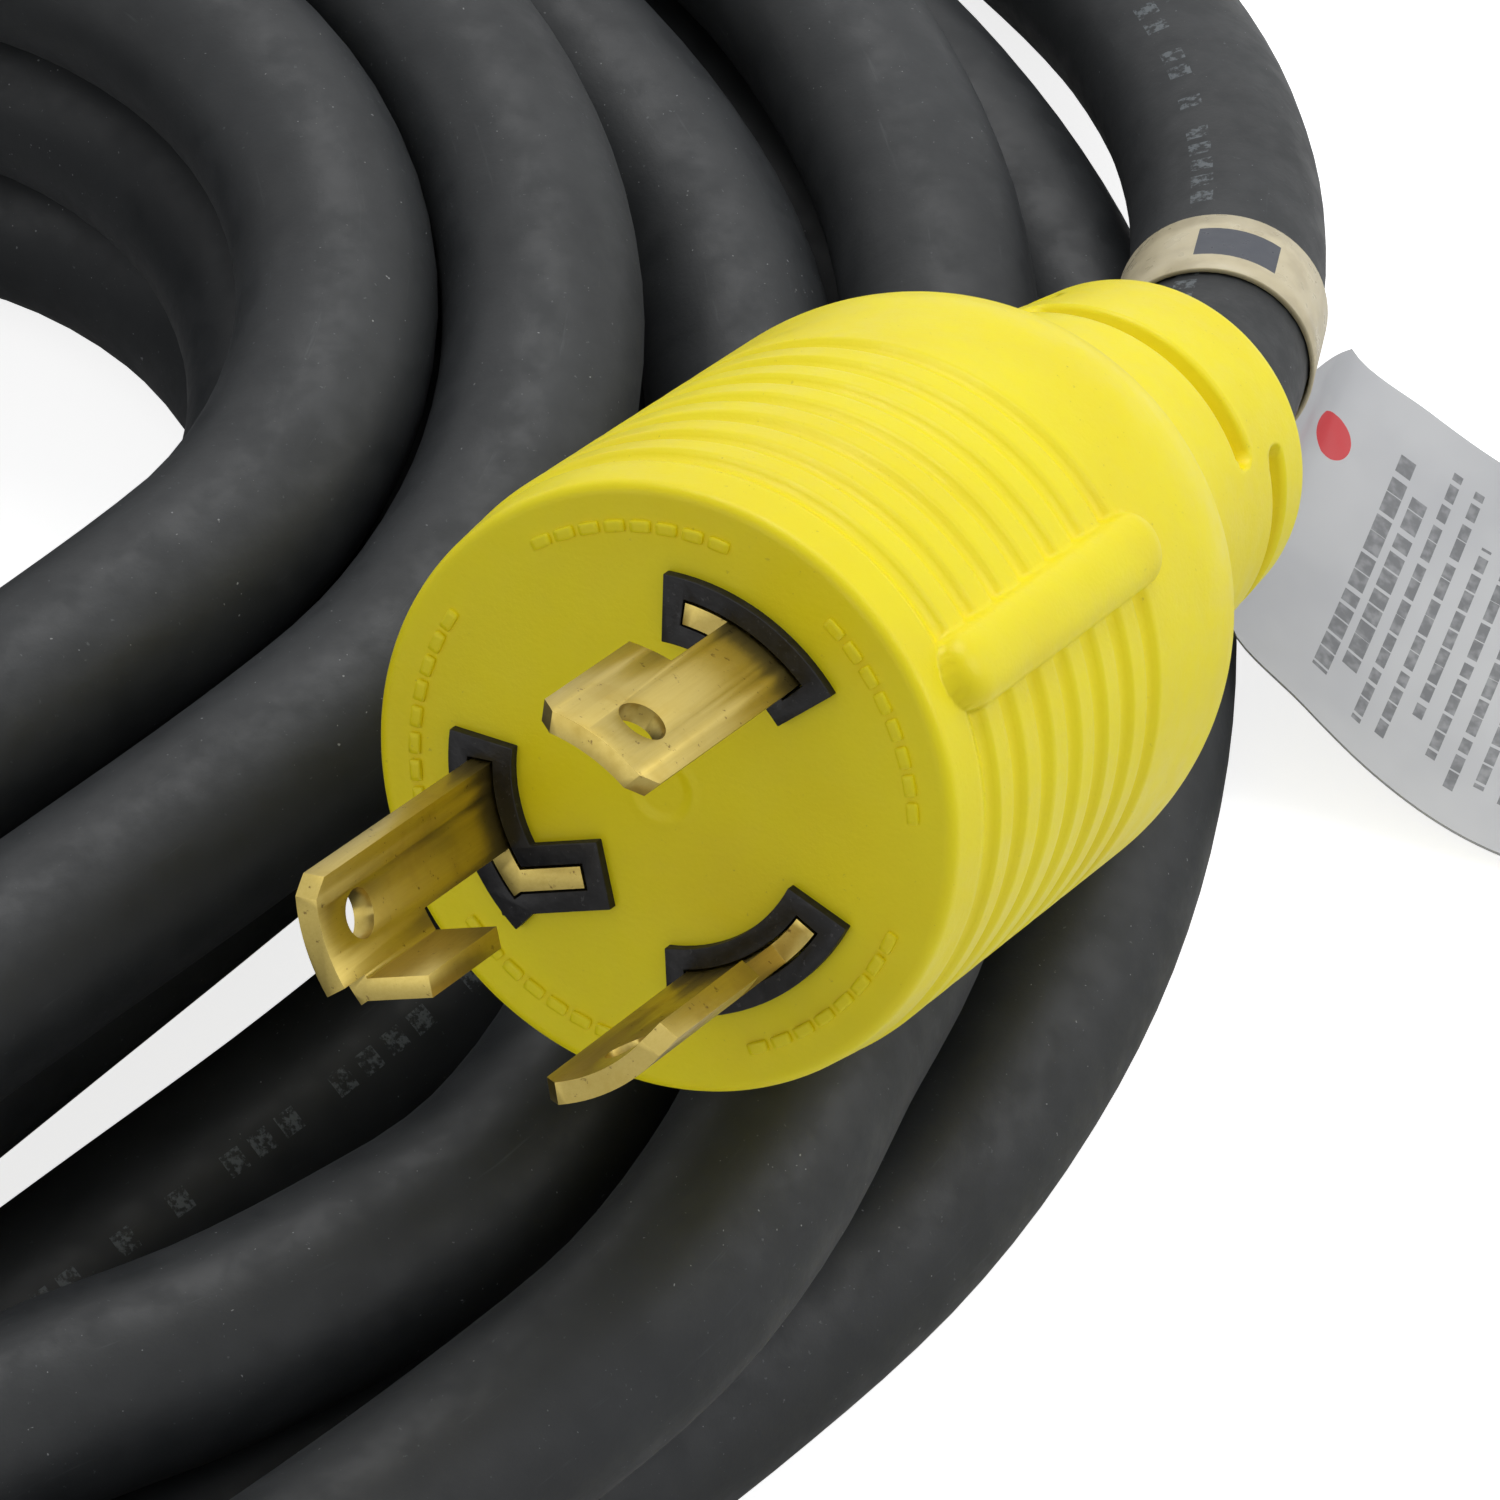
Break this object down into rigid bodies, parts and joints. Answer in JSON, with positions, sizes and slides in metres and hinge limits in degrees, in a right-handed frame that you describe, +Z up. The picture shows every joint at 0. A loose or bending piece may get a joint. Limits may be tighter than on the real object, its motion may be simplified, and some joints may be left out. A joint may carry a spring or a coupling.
{
  "type": "rv shore power cord",
  "caption": "Heavy black power cord in a loose oval coil, with a ribbed yellow locking plug with curved brass blades and a matching yellow locking connector.",
  "frame": {"origin": "on the surface the cord lies on, under the middle of the space spanned by the plug and the connector", "axes": "+Z up from the surface; +X from the connector's side to the plug's side; +Y from the plug's nose towards the connector's side of the coil"},
  "size_m": [0.4066, 0.3571, 0.1062],
  "materials": {
    "yellow_body": "satin moulded vinyl, bright lemon yellow",
    "black_insert": "fine matt moulded nylon, black",
    "brass_blade": "rolled brass, lightly tarnished",
    "inner_black": "plain moulded black block",
    "wire_black": "smooth black insulation",
    "wire_white": "smooth white insulation",
    "wire_green": "smooth green insulation",
    "copper": null,
    "steel_ring": "plain pressed steel",
    "cable_jacket": "satin charcoal jacket with fine dust",
    "strap_film": "beige film strap",
    "tag_film": "white coated film",
    "tie_fabric": "black hook-and-loop webbing"
  },
  "bodies": {
    "root": {"plug_body": "yellow_body", "plug_carrier": "black_insert", "blade_line_a": "brass_blade", "blade_line_b": "brass_blade", "blade_ground": "brass_blade", "plug_crimps": "brass_blade", "plug_bridge": "inner_black", "plug_wire_a": "wire_black", "plug_wire_b": "wire_white", "plug_wire_ground": "wire_green", "plug_copper": "copper", "plug_grip_ring": "steel_ring", "plug_jacket_end": "cable_jacket", "connector_body": "yellow_body", "connector_insert": "black_insert", "connector_back": "inner_black", "contact_line_a": "brass_blade", "contact_line_b": "brass_blade", "contact_ground": "brass_blade", "connector_crimps": "brass_blade", "connector_wire_a": "wire_black", "connector_wire_b": "wire_white", "connector_wire_ground": "wire_green", "connector_copper": "copper", "connector_grip_ring": "steel_ring", "connector_jacket_end": "cable_jacket", "cable_lead": "cable_jacket", "coil_base": "cable_jacket", "coil_upper": "cable_jacket", "coil_inner": "cable_jacket", "cable_tail": "cable_jacket", "label_strap": "strap_film", "flag_tag": "tag_film", "coil_tie": "tie_fabric"}
  },
  "joints": []
}
